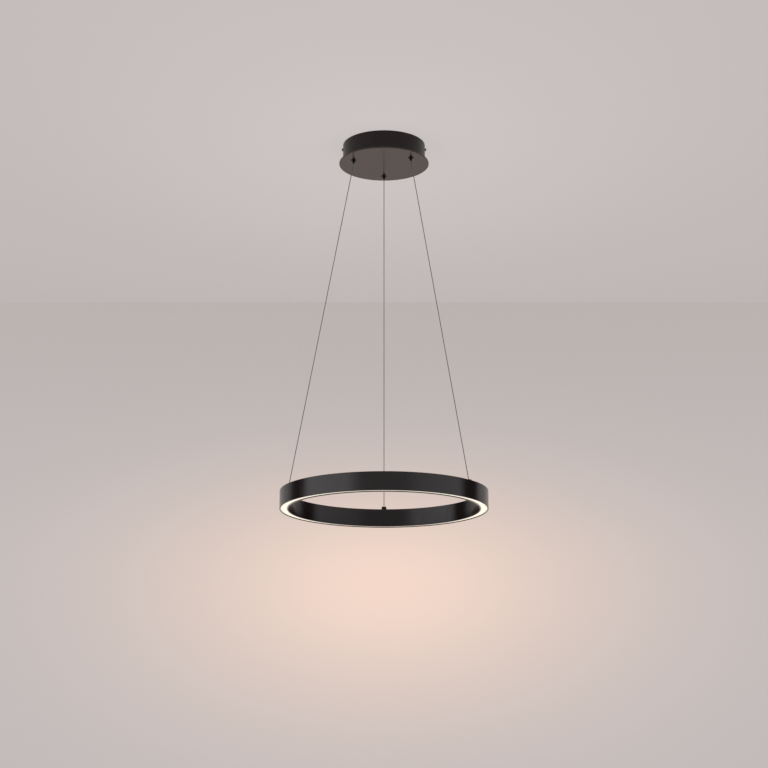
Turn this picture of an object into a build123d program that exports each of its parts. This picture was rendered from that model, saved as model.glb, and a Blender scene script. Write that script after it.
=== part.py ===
from build123d import *
import os
from math import cos, pi, radians, sin, sqrt, tan

# Driving dimensions in millimetres and degrees.
# The ceiling is at height zero, the light hangs below it and the viewer stands towards -Y.

# Whole light
drop = 745.0
left_hanger_angle = 201.0
right_hanger_angle = 325.5
rear_hanger_angle = 90.0

# Ring: an aluminium channel, open downwards, rolled into a hoop
ring_diameter = 400.0
ring_width = 17.0
ring_depth = 35.0
ring_wall = 2.2
ring_roof = 2.5
ring_edge_radius = 0.6
chamber_height = 9.0
ledge_depth = 1.5
ledge_thickness = 1.5
bead_depth = 0.6
bead_height = 1.0

# Light engine in the ring
board_thickness = 1.6
board_side_clearance = 0.1
chip_count = 96
chip_length = 3.5
chip_width = 2.8
chip_height = 0.8
connector_length = 12.0
connector_width = 6.0
connector_height = 3.5
connector_offset_angle = 4.0
diffuser_thickness = 2.0
diffuser_recess = 1.7
diffuser_side_clearance = 0.15
diffuser_leg = 1.2
diffuser_leg_height = 5.0
snap_clearance = 0.1

# Canopy: a spun cup against the ceiling and a wider plate under it
canopy_height = 40.0
cup_diameter = 165.0
cup_wall = 1.0
cup_corner_radius = 2.0
plate_diameter = 180.0
plate_thickness = 3.0
plate_edge_radius = 0.6
stud_diameter = 4.0
stud_end_length = 1.0

# Ceiling bracket and the screws that hold the cup to it
bracket_width = 20.0
bracket_thickness = 1.5
bracket_bend_radius = 1.0
bracket_wall_gap = 0.3
ear_length = 16.0
ear_corner_radius = 5.0
ear_collar_length = 1.5
ear_collar_wall = 1.2
slot_spacing = 70.0
slot_length = 20.0
slot_width = 5.0
earth_screw_offset = 14.0
side_screw_drop = 8.0
side_screw_diameter = 4.0
side_screw_head_diameter = 6.4
side_screw_head_height = 2.8
side_screw_end_length = 2.0
screw_hole_clearance = 0.25
thread_clearance = 0.05

# Wires
wire_diameter = 1.5
wire_bore_clearance = 0.2
wire_end_gap = 0.1
stop_diameter = 3.2
stop_length = 5.0
stop_gap = 0.3

# Grippers: balls in a cone hold the wire until the plunger is pushed up
gripper_inset = 16.5
ball_diameter = 2.0
ball_count = 3
ball_clearance = 0.02
ball_hole_clearance = 0.06
cage_cover = 0.43
cage_rim = 0.6
cone_half_angle = 6.0
plunger_clearance = 0.08
plunger_reach = 5.0
plunger_travel = 1.6
plunger_flare = 0.6
flange_thickness = 0.8
flange_rim = 1.35
flange_chamfer = 0.3
guide_length = 6.0
stem_wall = 1.0
spring_height = 5.0
spring_wire = 0.5
spring_turns = 4
spring_end_gap = 0.05
plug_length = 3.0
plug_clearance = 0.05
bush_flange = 0.6
bush_wall = 0.7
bush_clearance = 0.05
gripper_washer_thickness = 1.0
gripper_washer_rim = 0.6
gripper_nut_height = 4.0
nut_ratio = 1.625

# Ring caps: each holds the ball on its wire's end against a seat; the rear cap stands taller
ball_end_diameter = 4.0
ball_end_clearance = 0.15
ball_end_collar_diameter = 2.4
ball_end_collar_length = 3.0
seat_clearance = 0.08
seat_half_angle = 37.0
throat_radius = 1.55
wire_lean = 26.5
ball_end_rise = 0.2
front_cap_height = 1.8
rear_cap_height = 5.5
cap_shoulder = 1.9
cap_edge_radius = 0.5
shank_wall = 0.85
shank_end_length = 0.5
pad_thickness = 0.8
slide_nut_length = 16.0
slide_nut_height = 4.0
slide_nut_clearance = 0.4

# LED driver on two studs in the cup
driver_offset = 16.0
driver_length = 90.0
driver_width = 36.0
driver_height = 22.0
driver_wall = 1.5
driver_corner_radius = 3.0
driver_tab_length = 10.0
driver_tab_width = 14.0
driver_tab_thickness = 2.5
driver_window_width = 16.0
driver_window_height = 6.0
driver_lip_depth = 2.0
driver_lip_clearance = 0.2
driver_post_height = 3.0
driver_post_diameter = 5.0
driver_board_clearance = 0.6
driver_board_thickness = 1.6
transformer_length = 22.0
transformer_width = 20.0
transformer_height = 12.0
transformer_core_width = 10.0
transformer_bobbin_inset = 2.0
capacitor_diameter = 10.0
capacitor_height = 11.0
capacitor_spread = 7.0
driver_terminal_length = 9.0
driver_terminal_width = 14.0
driver_terminal_height = 8.0
driver_terminal_wire_diameter = 2.6
driver_terminal_pitch = 6.0

# Mains terminal block on two studs in the cup
terminal_offset = -47.0
terminal_pitch = 10.0
terminal_poles = 3
terminal_width = 17.0
terminal_base_height = 4.0
terminal_height = 13.0
terminal_tower_width = 9.0
terminal_slit = 1.6
terminal_ear_length = 10.0
terminal_corner_radius = 3.0
terminal_bore_height = 5.6
sleeve_diameter = 4.4
sleeve_bore = 3.0
sleeve_clearance = 0.05
terminal_screw_diameter = 2.6
terminal_screw_spacing = 6.0
terminal_screw_clearance = 0.1
terminal_screw_depth = 1.5

# Earth stud in the cup
earth_stud_offset = (32.0, -56.0)
earth_washer_diameter = 9.0
earth_washer_thickness = 0.8
stud_nut_height = 3.2

# The three hangers by name, each with its angle about the light's axis
hanger_angles = {"left": left_hanger_angle, "right": right_hanger_angle, "rear": rear_hanger_angle}
cap_heights = {"left": front_cap_height, "right": front_cap_height, "rear": rear_cap_height}

# Heights, from the ceiling down
plate_underside = -canopy_height
plate_top = plate_underside + plate_thickness
floor_top = plate_top + cup_wall
ring_bottom = -drop
ring_top = ring_bottom + ring_depth
roof_underside = ring_top - ring_roof
ledge_top = roof_underside - chamber_height
ledge_underside = ledge_top - ledge_thickness
board_underside = ledge_underside - board_thickness
diffuser_bottom = ring_bottom + diffuser_recess
diffuser_top = diffuser_bottom + diffuser_thickness
bead_bottom = diffuser_top + snap_clearance
bead_top = bead_bottom + bead_height

# Radii of the ring and the canopy
ring_outer = ring_diameter / 2
ring_inner = ring_outer - ring_width
channel_inner = ring_inner + ring_wall
channel_outer = ring_outer - ring_wall
hanger_radius = (ring_inner + ring_outer) / 2
cup_outer = cup_diameter / 2
cup_inner = cup_outer - cup_wall
gripper_radius = cup_inner - gripper_inset
ear_face = sqrt(cup_inner**2 - (bracket_width / 2) ** 2) - bracket_wall_gap

# Fits of the gripper: each radius follows from the wire and the balls
wire_radius = wire_diameter / 2
wire_bore = wire_radius + wire_bore_clearance
ball_radius = ball_diameter / 2
ball_orbit = wire_radius + ball_clearance + ball_radius
plunger_radius = ball_orbit + cage_cover
guide_radius = plunger_radius + plunger_clearance
cone_slope = tan(radians(cone_half_angle))
grip_radius = ball_orbit + (ball_radius + ball_clearance) / cos(radians(cone_half_angle))
spring_chamber_radius = grip_radius + plunger_travel * cone_slope
stem_radius = spring_chamber_radius + stem_wall
flange_radius = stem_radius + flange_rim
gripper_hole = stem_radius + bush_wall + 2 * bush_clearance
gripper_nut_radius = stem_radius * nut_ratio / cos(pi / 6)

flange_top = plate_underside - bush_flange
flange_bottom = flange_top - flange_thickness
plunger_tip = flange_bottom - plunger_reach
cone_bottom = flange_bottom + guide_length
ball_height = cone_bottom + (grip_radius - guide_radius) / cone_slope
cone_top = ball_height + plunger_travel
plunger_top = ball_height + ball_radius + ball_hole_clearance + cage_rim
spring_bottom = plunger_top + spring_end_gap
plug_bottom = spring_bottom + spring_height + spring_end_gap
stem_top = plug_bottom + plug_length
stop_bottom = stem_top + stop_gap
stop_top = stop_bottom + stop_length

# Fits of the ring cap: each radius follows from the ball on the wire's end
ball_end_radius = ball_end_diameter / 2
cap_bore = ball_end_radius + ball_end_clearance
shank_radius = cap_bore + shank_wall
cap_radius = shank_radius + cap_shoulder
cap_hole = shank_radius + bush_wall + 2 * bush_clearance
cap_bottom = ring_top + bush_flange
pad_bottom = roof_underside - pad_thickness
slide_nut_bottom = pad_bottom - slide_nut_height
shank_bottom = slide_nut_bottom - shank_end_length
slide_nut_width = channel_outer - channel_inner - 2 * slide_nut_clearance
ball_end_height = ring_top + ball_end_rise

# Heights in the driver, on the cup's floor
driver_rim = floor_top + driver_height - driver_wall
driver_board_bottom = floor_top + driver_wall + driver_post_height
driver_board_top = driver_board_bottom + driver_board_thickness
driver_stud_reach = driver_length / 2 + driver_tab_length / 2
driver_terminal_face = driver_length / 2 - driver_wall - driver_board_clearance - driver_terminal_length
terminal_length = terminal_pitch * terminal_poles
terminal_stud_reach = terminal_length / 2 + terminal_ear_length / 2
terminal_top = floor_top + terminal_height
sleeve_axis = floor_top + terminal_base_height + terminal_bore_height - sleeve_diameter / 2
stud_hole_radius = stud_diameter / 2 + screw_hole_clearance
stud_nut_radius = stud_diameter / 2 * nut_ratio / cos(pi / 6)


# A flat rectangle in a radial section, from one radius and height to another
def section_block(inner, outer, bottom, top):
    return Pos((inner + outer) / 2, (bottom + top) / 2) * Rectangle(outer - inner, top - bottom)


# A solid of revolution about the Z axis from a section drawn as radius and height
def turned(section):
    return revolve(Plane.XZ * section, Axis.Z)


# A turned solid from the corners of its section
def turned_outline(*corners):
    return turned(make_face(Polyline(*corners, close=True)))


# A ring with a plain bore
def tube(outer, inner, bottom, top):
    return turned(section_block(inner, outer, bottom, top))


# A solid cylinder standing on a height
def post(radius, bottom, top):
    return Pos(0, 0, bottom) * extrude(Circle(radius), top - bottom)


# A box centred in plan and standing on a height
def slab(length, width, bottom, top):
    return Pos(0, 0, bottom) * extrude(Rectangle(length, width), top - bottom)


# A hexagon nut with a bore, its corners at the given radius
def hexagon_nut(corner_radius, bore, bottom, top):
    blank = extrude(RegularPolygon(corner_radius, 6), top - bottom)
    return Pos(0, 0, bottom) * blank - post(bore, bottom, top)


# A point on a circle about the light's axis
def on_circle(radius, angle, height):
    return Pos(radius * cos(radians(angle)), radius * sin(radians(angle)), height)


# One copy of a solid, drawn on the axis, at each hanger
def at_hangers(radius, solid):
    return [on_circle(radius, angle, 0) * Rot(0, 0, angle) * solid for angle in hanger_angles.values()]


def ring_profile():
    channel = section_block(ring_inner, ring_outer, ring_bottom, ring_top)
    channel = fillet(channel.vertices(), ring_edge_radius)
    channel -= section_block(channel_inner, channel_outer, ring_bottom - ring_roof, roof_underside)
    for wall, inwards in ((channel_inner, 1), (channel_outer, -1)):
        ledge_end = wall + inwards * ledge_depth
        bead_end = wall + inwards * bead_depth
        channel += section_block(min(wall, ledge_end), max(wall, ledge_end), ledge_underside, ledge_top)
        channel += section_block(min(wall, bead_end), max(wall, bead_end), bead_bottom, bead_top)
    hoop = turned(channel)
    for hole in at_hangers(hanger_radius, post(cap_hole, roof_underside, ring_top)):
        hoop -= hole
    return hoop


# The opal strip: a floor with two hooked legs that snap over the channel's beads
def diffuser():
    floor_inner = channel_inner + diffuser_side_clearance
    floor_outer = channel_outer - diffuser_side_clearance
    leg_gap = bead_depth + snap_clearance
    hook_bottom = bead_top + snap_clearance
    leg_top = diffuser_top + diffuser_leg_height
    section = section_block(floor_inner, floor_outer, diffuser_bottom, diffuser_top)
    leg_inner = channel_inner + leg_gap
    leg_outer = channel_outer - leg_gap
    section += section_block(leg_inner, leg_inner + diffuser_leg, diffuser_top, leg_top)
    section += section_block(leg_outer - diffuser_leg, leg_outer, diffuser_top, leg_top)
    inner_hook = Polyline(
        (leg_inner, hook_bottom), (floor_inner, hook_bottom), (leg_inner, leg_top), close=True
    )
    outer_hook = Polyline(
        (leg_outer, hook_bottom), (floor_outer, hook_bottom), (leg_outer, leg_top), close=True
    )
    return turned(section + make_face(inner_hook) + make_face(outer_hook))


def led_board():
    inner = channel_inner + board_side_clearance
    outer = channel_outer - board_side_clearance
    return tube(outer, inner, board_underside, ledge_underside)


def led_chips():
    chip = slab(chip_width, chip_length, board_underside - chip_height, board_underside)
    step = 360 / chip_count
    return [Rot(0, 0, step * index) * Pos(hanger_radius, 0, 0) * chip for index in range(chip_count)]


# Two connectors on the board's back, beside the caps of the two live wires
def board_connectors():
    body = slab(connector_width, connector_length, ledge_underside, ledge_underside + connector_height)
    bodies = []
    for side in ("left", "right"):
        turn = Rot(0, 0, hanger_angles[side] + connector_offset_angle)
        bodies.append(turn * Pos(hanger_radius, 0, 0) * body)
    return bodies


# A round cap: its bore narrows to a conical seat, then flares so that the wire can lean
def ring_cap(height):
    slope = tan(radians(seat_half_angle))
    seat_reach = (ball_end_radius + seat_clearance) / cos(radians(90 - seat_half_angle))
    seat_apex = ball_end_height + seat_reach
    throat_height = seat_apex - throat_radius / slope
    seat_bottom = seat_apex - cap_bore / slope
    cap_top = cap_bottom + height
    mouth_radius = throat_radius + (cap_top - throat_height) * tan(radians(wire_lean))
    outline = make_face(
        Polyline(
            (cap_bore, shank_bottom),
            (shank_radius, shank_bottom),
            (shank_radius, cap_bottom),
            (cap_radius, cap_bottom),
            (cap_radius, cap_top),
            (mouth_radius, cap_top),
            (throat_radius, throat_height),
            (cap_bore, seat_bottom),
            close=True,
        )
    )
    rim = outline.vertices().sort_by_distance((cap_radius, cap_top))[0]
    return turned(fillet(rim, cap_edge_radius))


def cap_bush():
    inner = shank_radius + bush_clearance
    sleeve = tube(inner + bush_wall, inner, roof_underside, ring_top)
    return sleeve + tube(cap_radius, inner, ring_top, cap_bottom)


def cap_pad():
    return slab(slide_nut_width, slide_nut_length, pad_bottom, roof_underside) - post(
        shank_radius + bush_clearance, pad_bottom, roof_underside
    )


def slide_nut():
    block = slab(slide_nut_width, slide_nut_length, slide_nut_bottom, pad_bottom)
    return block - post(shank_radius + thread_clearance, slide_nut_bottom, pad_bottom)


# The wire's swaged ball with the collar that carries the current down to the board
def wire_ball_end():
    collar_bottom = ball_end_height - ball_end_radius - ball_end_collar_length
    ball = Pos(0, 0, ball_end_height) * Sphere(ball_end_radius)
    return ball + post(ball_end_collar_diameter / 2, collar_bottom, ball_end_height)


# Thin flange below the plate, stem through it, and the cone that the balls are drawn into
def gripper_body():
    return turned_outline(
        (guide_radius, flange_bottom),
        (flange_radius - flange_chamfer, flange_bottom),
        (flange_radius, flange_bottom + flange_chamfer),
        (flange_radius, flange_top),
        (stem_radius, flange_top),
        (stem_radius, stem_top),
        (spring_chamber_radius, stem_top),
        (spring_chamber_radius, cone_top),
        (guide_radius, cone_bottom),
    )


# The nipple under the flange and the ball cage above it are one turned sleeve
def gripper_plunger():
    sleeve = turned_outline(
        (wire_bore + plunger_flare, plunger_tip),
        (plunger_radius - plunger_flare / 2, plunger_tip),
        (plunger_radius, plunger_tip + plunger_flare / 2),
        (plunger_radius, plunger_top),
        (wire_bore, plunger_top),
        (wire_bore, plunger_tip + plunger_flare),
    )
    drill = Rot(0, 90, 0) * post(ball_radius + ball_hole_clearance, 0, plunger_radius + ball_radius)
    for index in range(ball_count):
        sleeve -= Pos(0, 0, ball_height) * Rot(0, 0, 360 / ball_count * index) * drill
    return sleeve


def gripper_balls():
    ball = Pos(ball_orbit, 0, ball_height) * Sphere(ball_radius)
    return [Rot(0, 0, 360 / ball_count * index) * ball for index in range(ball_count)]


# The return spring stands on the cage and bears against the plug
def gripper_spring():
    coil_radius = (wire_bore + spring_chamber_radius) / 2
    coil_height = spring_height - spring_wire
    coil = Helix(coil_height / spring_turns, coil_height, coil_radius)
    section = Plane(coil @ 0, z_dir=coil % 0) * RegularPolygon(spring_wire / 2, 6)
    return Pos(0, 0, spring_bottom + spring_wire / 2) * sweep(section, coil, is_frenet=True)


def gripper_plug():
    return tube(spring_chamber_radius - plug_clearance, wire_bore, plug_bottom, stem_top)


def gripper_bush():
    inner = stem_radius + bush_clearance
    sleeve = tube(inner + bush_wall, inner, plate_underside, floor_top)
    return sleeve + tube(flange_radius, inner, flange_top, plate_underside)


def gripper_washer():
    rim = gripper_nut_radius + gripper_washer_rim
    return tube(rim, stem_radius + bush_clearance, floor_top, floor_top + gripper_washer_thickness)


def gripper_nut():
    bottom = floor_top + gripper_washer_thickness
    top = bottom + gripper_nut_height
    return hexagon_nut(gripper_nut_radius, stem_radius + thread_clearance, bottom, top)


# The taut stretch between plunger and ball end, cut level where it leaves the plunger
def wire(angle):
    start = on_circle(gripper_radius, angle, plunger_tip).position
    finish = on_circle(hanger_radius, angle, ball_end_height).position
    along = (finish - start).normalized()
    length = (finish - start).length - ball_end_radius - wire_end_gap
    lead = wire_diameter
    run = extrude(Plane(start - along * lead, z_dir=along) * Circle(wire_radius), length + lead)
    run = split(run, Plane.XY.offset(plunger_tip), keep=Keep.BOTTOM)
    print(f"wire at {angle} degrees: length {length:.1f}, volume {run.volume:.1f}", end=", ")
    print(f"section times length {pi * wire_radius**2 * length:.1f}")
    return run


# The end of the wire inside the gripper, up to the top of its stop
def wire_tail():
    return post(wire_radius, plunger_tip, stop_top)


def wire_stop():
    return tube(stop_diameter / 2, wire_radius + ball_clearance, stop_bottom, stop_top)


# A spun cup with weld studs for the driver, the terminal block and the earth
def canopy_cup():
    shell = section_block(0, cup_outer, plate_top, 0)
    shell = fillet(shell.vertices().sort_by_distance((cup_outer, plate_top))[0], cup_corner_radius)
    hollow = section_block(0, cup_inner, floor_top, cup_wall)
    inside_radius = max(cup_corner_radius - cup_wall, cup_wall / 2)
    hollow = fillet(hollow.vertices().sort_by_distance((cup_inner, floor_top))[0], inside_radius)
    cup = turned(shell - hollow)
    for hole in at_hangers(gripper_radius, post(gripper_hole, plate_top, floor_top)):
        cup -= hole
    screw_hole = Rot(0, 90, 0) * post(side_screw_diameter / 2 + screw_hole_clearance, -cup_outer, cup_outer)
    cup -= Pos(0, 0, -side_screw_drop) * screw_hole
    for place, grip in stud_places():
        stud_top = floor_top + grip + stud_nut_height + stud_end_length
        cup += place * post(stud_diameter / 2, floor_top, stud_top)
    return cup


# Where each stud stands, with the thickness that its nut clamps
def stud_places():
    places = []
    for side in (-1, 1):
        places.append((Pos(side * driver_stud_reach, driver_offset, 0), driver_tab_thickness))
        places.append((Pos(side * terminal_stud_reach, terminal_offset, 0), terminal_base_height))
    places.append((Pos(*earth_stud_offset, 0), earth_washer_thickness))
    return places


def stud_nuts():
    nuts = []
    for place, grip in stud_places():
        bottom = floor_top + grip
        bore = stud_diameter / 2 + thread_clearance
        nuts.append(place * hexagon_nut(stud_nut_radius, bore, bottom, bottom + stud_nut_height))
    return nuts


def earth_washer():
    ring = tube(earth_washer_diameter / 2, stud_hole_radius, floor_top, floor_top + earth_washer_thickness)
    return Pos(*earth_stud_offset, 0) * ring


def canopy_plate():
    disc = section_block(0, plate_diameter / 2, plate_underside, plate_top)
    rim = disc.vertices().group_by(Axis.X)[-1]
    plate = turned(fillet(rim, plate_edge_radius))
    for hole in at_hangers(gripper_radius, post(gripper_hole, plate_underside, plate_top)):
        plate -= hole
    return plate


# A slotted crossbar whose ends are turned down into tapped ears
def ceiling_bracket():
    inside_face = ear_face - bracket_thickness
    blank = section_block(-ear_face, ear_face, -ear_length, 0)
    outer_bend = blank.vertices().group_by(Axis.Y)[-1]
    blank = fillet(outer_bend, bracket_bend_radius + bracket_thickness)
    recess = section_block(-inside_face, inside_face, -2 * ear_length, -bracket_thickness)
    inner_bend = recess.vertices().group_by(Axis.Y)[-1]
    strip = Plane.XZ * (blank - fillet(inner_bend, bracket_bend_radius))
    bar = extrude(strip, bracket_width / 2, both=True)
    ear_corners = bar.edges().filter_by(Axis.X).group_by(Axis.Z)[0]
    bar = fillet(ear_corners, ear_corner_radius)
    tap = side_screw_diameter / 2 + thread_clearance
    for side in (-1, 1):
        lie = Pos(0, 0, -side_screw_drop) * Rot(0, side * 90, 0)
        bar += lie * post(tap + ear_collar_wall, inside_face - ear_collar_length, inside_face)
        bar -= lie * post(tap, inside_face - 2 * ear_collar_length, ear_face + bracket_thickness)
        slot = extrude(SlotOverall(slot_length, slot_width), -bracket_thickness)
        bar -= Pos(side * slot_spacing / 2, 0, 0) * slot
    return bar - Pos(earth_screw_offset, 0, 0) * post(tap, -bracket_thickness, 0)


# A domed screw whose head bears at height zero and whose shank points up
def domed_screw(shank_length):
    head_radius = side_screw_head_diameter / 2
    shank = side_screw_diameter / 2
    crown_radius = head_radius / 2
    crown = ThreePointArc(
        (head_radius, -side_screw_head_height / 2),
        (head_radius * cos(pi / 6), -side_screw_head_height * (1 + sin(pi / 6)) / 2),
        (crown_radius, -side_screw_head_height),
    )
    rest = Polyline(
        (crown_radius, -side_screw_head_height),
        (0, -side_screw_head_height),
        (0, shank_length),
        (shank, shank_length),
        (shank, 0),
        (head_radius, 0),
        (head_radius, -side_screw_head_height / 2),
    )
    return turned(make_face(crown + rest))


def side_screws():
    shank_length = cup_outer - ear_face + bracket_thickness + ear_collar_length + side_screw_end_length
    screw = domed_screw(shank_length)
    height = Pos(0, 0, -side_screw_drop)
    return [height * Rot(0, -side * 90, 0) * Pos(0, 0, -cup_outer) * screw for side in (-1, 1)]


def bracket_earth_screw():
    return Pos(earth_screw_offset, 0, -bracket_thickness) * domed_screw(bracket_thickness)


# The driver's tray: rounded corners, a tab at each end, a window for the leads and posts for its board
def driver_case():
    outside = RectangleRounded(driver_length, driver_width, driver_corner_radius)
    inside_length = driver_length - 2 * driver_wall
    inside_width = driver_width - 2 * driver_wall
    inside = RectangleRounded(inside_length, inside_width, driver_corner_radius - driver_wall)
    tray = Pos(0, 0, floor_top) * extrude(outside, driver_rim - floor_top)
    tray -= Pos(0, 0, floor_top + driver_wall) * extrude(inside, driver_height)
    for side in (-1, 1):
        tab = slab(driver_tab_length, driver_tab_width, floor_top, floor_top + driver_tab_thickness)
        hole = post(stud_hole_radius, floor_top, floor_top + driver_tab_thickness)
        tray += Pos(side * driver_stud_reach, 0, 0) * (tab - hole)
        window_top = driver_board_top + driver_window_height
        window = slab(3 * driver_wall, driver_window_width, driver_board_top, window_top)
        tray -= Pos(side * (driver_length - driver_wall) / 2, 0, 0) * window
    for post_place in driver_post_places():
        tray += post_place * post(
            driver_post_diameter / 2, floor_top + driver_wall, driver_board_bottom
        )
    return Pos(0, driver_offset, 0) * tray


def driver_post_places():
    reach_x = driver_length / 2 - driver_wall - driver_board_clearance - driver_post_diameter
    reach_y = driver_width / 2 - driver_wall - driver_board_clearance - driver_post_diameter
    return [Pos(side_x * reach_x, side_y * reach_y, 0) for side_x in (-1, 1) for side_y in (-1, 1)]


def driver_lid():
    outside = RectangleRounded(driver_length, driver_width, driver_corner_radius)
    inset = 2 * (driver_wall + driver_lip_clearance)
    lip_radius = driver_corner_radius - driver_wall
    lip_outside = RectangleRounded(driver_length - inset, driver_width - inset, lip_radius)
    lip_inside = Rectangle(driver_length - inset - 2 * driver_wall, driver_width - inset - 2 * driver_wall)
    lid = Pos(0, 0, driver_rim) * extrude(outside, driver_wall)
    lip = Pos(0, 0, driver_rim - driver_lip_depth) * extrude(lip_outside - lip_inside, driver_lip_depth)
    return Pos(0, driver_offset, 0) * (lid + lip)


def driver_board():
    inset = 2 * (driver_wall + driver_board_clearance)
    board = slab(driver_length - inset, driver_width - inset, driver_board_bottom, driver_board_top)
    return Pos(0, driver_offset, 0) * board


# A ferrite core round a wound bobbin
def driver_transformer():
    top = driver_board_top + transformer_height
    core = slab(transformer_length, transformer_core_width, driver_board_top, top)
    winding = slab(
        transformer_length - 2 * transformer_bobbin_inset,
        transformer_width,
        driver_board_top + transformer_bobbin_inset,
        top - transformer_bobbin_inset,
    )
    round_edges = winding.edges().filter_by(Axis.X)
    return Pos(0, driver_offset, 0) * (core + fillet(round_edges, transformer_bobbin_inset))


# Two cans midway between the transformer and one terminal
def driver_capacitors():
    can = post(capacitor_diameter / 2, driver_board_top, driver_board_top + capacitor_height)
    midway = (transformer_length / 2 + driver_terminal_face) / 2
    return [Pos(midway, driver_offset + side * capacitor_spread, 0) * can for side in (-1, 1)]


# A two-way terminal behind each window of the case
def driver_terminals():
    blocks = []
    block_top = driver_board_top + driver_terminal_height
    reach = driver_terminal_face + driver_terminal_length / 2
    for side in (-1, 1):
        block = slab(driver_terminal_length, driver_terminal_width, driver_board_top, block_top)
        for way in (-1, 1):
            entry = Rot(0, 90, 0) * post(driver_terminal_wire_diameter / 2, 0, driver_terminal_length)
            entry = Rot(0, 0, 90 - side * 90) * entry
            entry_height = driver_board_top + driver_terminal_wire_diameter
            block -= Pos(0, way * driver_terminal_pitch / 2, entry_height) * entry
        blocks.append(Pos(side * reach, driver_offset, 0) * block)
    return blocks


# A strip of three screw terminals with an ear at each end
def terminal_block():
    base_top = floor_top + terminal_base_height
    base = slab(terminal_length + 2 * terminal_ear_length, terminal_width, floor_top, base_top)
    block = fillet(base.edges().filter_by(Axis.Z), terminal_corner_radius)
    for side in (-1, 1):
        block -= Pos(side * terminal_stud_reach, 0, 0) * post(stud_hole_radius, floor_top, base_top)
    tower = slab(terminal_pitch - terminal_slit, terminal_tower_width, base_top, terminal_top)
    bore = sleeve_diameter / 2 + sleeve_clearance
    bore_length = terminal_tower_width / 2
    sleeve_hole = Pos(0, 0, sleeve_axis) * Rot(90, 0, 0) * post(bore, -bore_length, bore_length)
    well = post(terminal_screw_diameter / 2 + terminal_screw_clearance, sleeve_axis, terminal_top)
    for place in pole_places():
        block += place * tower
        block -= place * sleeve_hole
        for step in (-1, 1):
            block -= place * Pos(0, step * terminal_screw_spacing / 2, 0) * well
    return Pos(0, terminal_offset, 0) * block


def pole_places():
    first = -terminal_pitch * (terminal_poles - 1) / 2
    return [Pos(first + terminal_pitch * index, 0, 0) for index in range(terminal_poles)]


def terminal_sleeves():
    sleeve = Rot(90, 0, 0) * tube(
        sleeve_diameter / 2, sleeve_bore / 2, -terminal_tower_width / 2, terminal_tower_width / 2
    )
    for step in (-1, 1):
        hole = post(terminal_screw_diameter / 2 + thread_clearance, 0, sleeve_diameter)
        sleeve -= Pos(0, step * terminal_screw_spacing / 2, 0) * hole
    return [Pos(0, terminal_offset, sleeve_axis) * place * sleeve for place in pole_places()]


def terminal_screws():
    screw = post(terminal_screw_diameter / 2, sleeve_axis, terminal_top - terminal_screw_depth)
    screws = []
    for place in pole_places():
        for step in (-1, 1):
            across = terminal_offset + step * terminal_screw_spacing / 2
            screws.append(place * Pos(0, across, 0) * screw)
    return screws


def save(name, shape):
    solids = shape if isinstance(shape, list) else [shape]
    export_step(Compound(children=solids) if len(solids) > 1 else solids[0], f"parts/{name}.step")


os.makedirs("parts", exist_ok=True)

save("ring_profile", ring_profile())
save("diffuser", diffuser())
save("led_board", led_board())
save("led_chips", led_chips())
save("board_connectors", board_connectors())
save("cap_bushes", at_hangers(hanger_radius, cap_bush()))
save("cap_pads", at_hangers(hanger_radius, cap_pad()))
save("slide_nuts", at_hangers(hanger_radius, slide_nut()))

save("ceiling_bracket", ceiling_bracket())
save("bracket_earth_screw", bracket_earth_screw())
save("canopy_cup", canopy_cup())
save("canopy_plate", canopy_plate())
save("side_screws", side_screws())
save("stud_nuts", stud_nuts())
save("earth_washer", earth_washer())

save("driver_case", driver_case())
save("driver_lid", driver_lid())
save("driver_board", driver_board())
save("driver_transformer", driver_transformer())
save("driver_capacitors", driver_capacitors())
save("driver_terminals", driver_terminals())
save("terminal_block", terminal_block())
save("terminal_sleeves", terminal_sleeves())
save("terminal_screws", terminal_screws())

save("gripper_bushes", at_hangers(gripper_radius, gripper_bush()))
save("gripper_washers", at_hangers(gripper_radius, gripper_washer()))
save("gripper_nuts", at_hangers(gripper_radius, gripper_nut()))

for side, angle in hanger_angles.items():
    gripper_place = on_circle(gripper_radius, angle, 0) * Rot(0, 0, angle)
    cap_place = on_circle(hanger_radius, angle, 0) * Rot(0, 0, angle)
    save(f"gripper_body_{side}", gripper_place * gripper_body())
    save(f"gripper_plunger_{side}", gripper_place * gripper_plunger())
    save(f"gripper_balls_{side}", [gripper_place * ball for ball in gripper_balls()])
    save(f"gripper_spring_{side}", gripper_place * gripper_spring())
    save(f"gripper_plug_{side}", gripper_place * gripper_plug())
    save(f"wire_{side}", wire(angle))
    save(f"wire_tail_{side}", gripper_place * wire_tail())
    save(f"wire_stop_{side}", gripper_place * wire_stop())
    save(f"ring_cap_{side}", cap_place * ring_cap(cap_heights[side]))
    save(f"wire_end_{side}", cap_place * wire_ball_end())
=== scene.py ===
import math

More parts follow.
